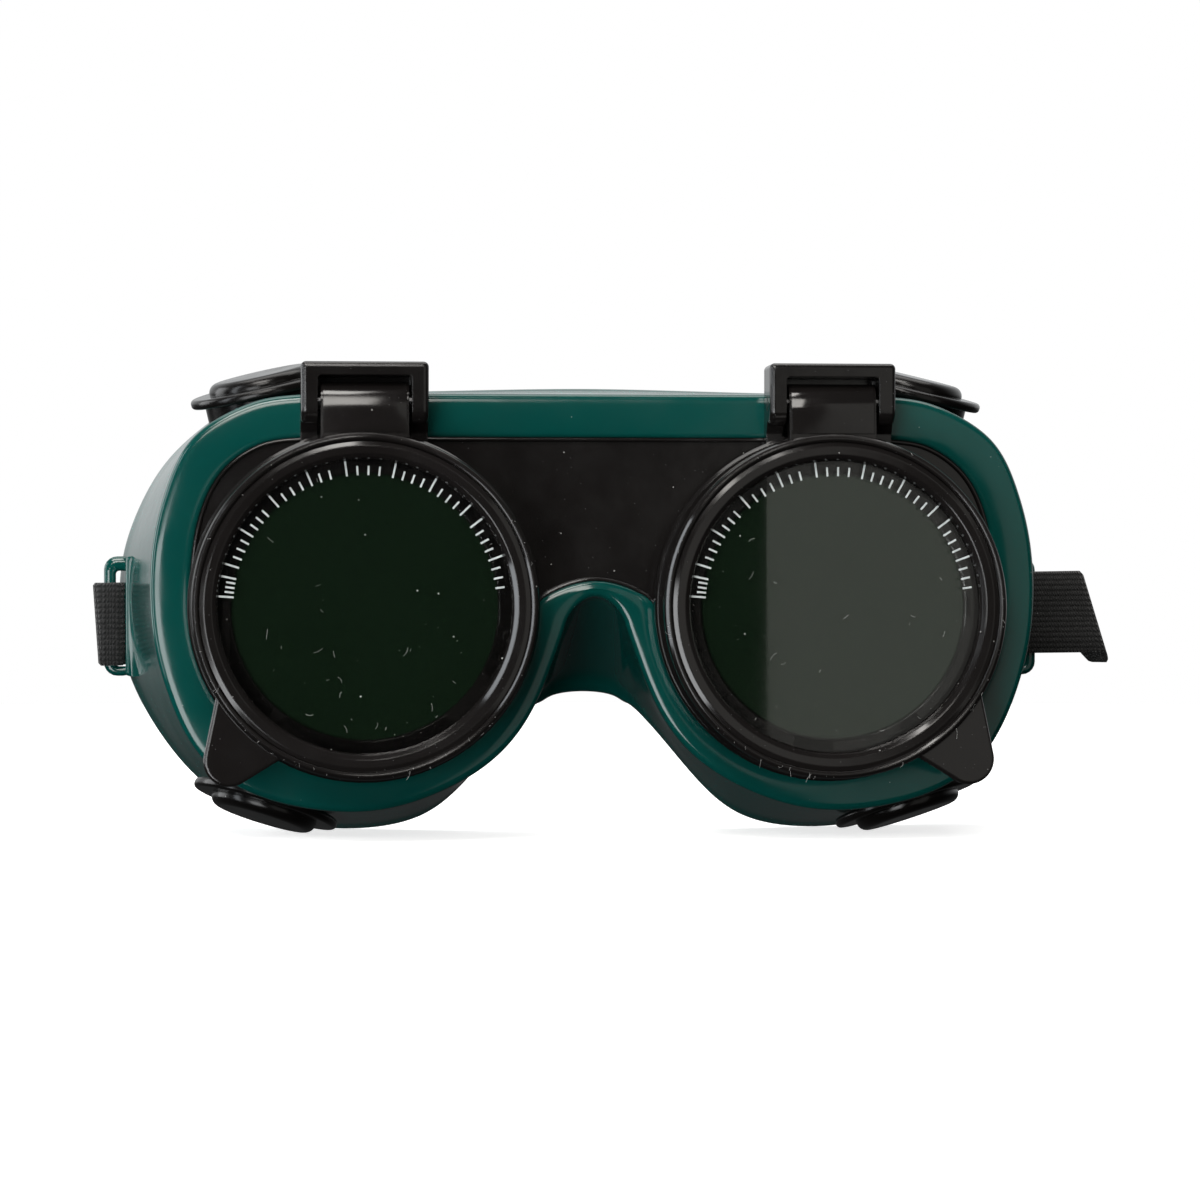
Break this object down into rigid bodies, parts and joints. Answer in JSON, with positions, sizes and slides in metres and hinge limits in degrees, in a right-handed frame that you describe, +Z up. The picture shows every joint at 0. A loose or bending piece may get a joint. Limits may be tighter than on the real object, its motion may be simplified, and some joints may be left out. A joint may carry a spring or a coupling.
{
  "type": "welding goggles",
  "caption": "Flip-front welding goggles: soft one-piece body, hard front plate, round dark filter cups hinged over clear lenses, capped vents and an elastic head strap.",
  "frame": {"origin": "on the floor under the middle of the goggles' own box, strap left out", "axes": "+X to the wearer's left, -Y out of the front along the lens axes, +Z up as worn"},
  "size_m": [0.1845, 0.134, 0.0819],
  "materials": {
    "green_pvc": "glossy soft moulded vinyl",
    "black_plastic": "glossy moulded",
    "clear_glass": "polished",
    "clear_lens": "polished",
    "shade_glass": "polished dark green filter",
    "pin_steel": "plain",
    "elastic": "ribbed woven"
  },
  "bodies": {
    "goggle": {"facepiece": "green_pvc", "front_plate": "black_plastic", "clear_lens_left": "clear_lens", "clear_ring_left": "black_plastic", "hinge_pin_left": "pin_steel", "vent_seat_top_left": "black_plastic", "vent_cap_top_left": "black_plastic", "vent_seat_bottom_left": "black_plastic", "vent_cap_bottom_left": "black_plastic", "clear_lens_right": "clear_lens", "clear_ring_right": "black_plastic", "hinge_pin_right": "pin_steel", "vent_seat_top_right": "black_plastic", "vent_cap_top_right": "black_plastic", "vent_seat_bottom_right": "black_plastic", "vent_cap_bottom_right": "black_plastic", "strap": "elastic"},
    "cup_left": {"flip_cup_left": "black_plastic", "cover_lens_left": "clear_glass", "cover_ring_left": "black_plastic", "shade_lens_left": "shade_glass", "shade_ring_left": "black_plastic"},
    "cup_right": {"flip_cup_right": "black_plastic", "cover_lens_right": "clear_glass", "cover_ring_right": "black_plastic", "shade_lens_right": "shade_glass", "shade_ring_right": "black_plastic"},
    "keeper": {"strap_keeper": "black_plastic"}
  },
  "joints": [
    {"name": "flip_left", "type": "hinge", "parent": "goggle", "child": "cup_left", "pos_m": [-0.0396, -0.02635, 0.07405], "axis": [-1, 0, 0], "range_deg": [0, 96]},
    {"name": "flip_right", "type": "hinge", "parent": "goggle", "child": "cup_right", "pos_m": [0.0396, -0.02635, 0.07405], "axis": [-1, 0, 0], "range_deg": [0, 96]},
    {"name": "keeper_slide", "type": "slide", "parent": "goggle", "child": "keeper", "axis": [0, 1, 0], "range_m": [-0.004, 0.004]}
  ]
}
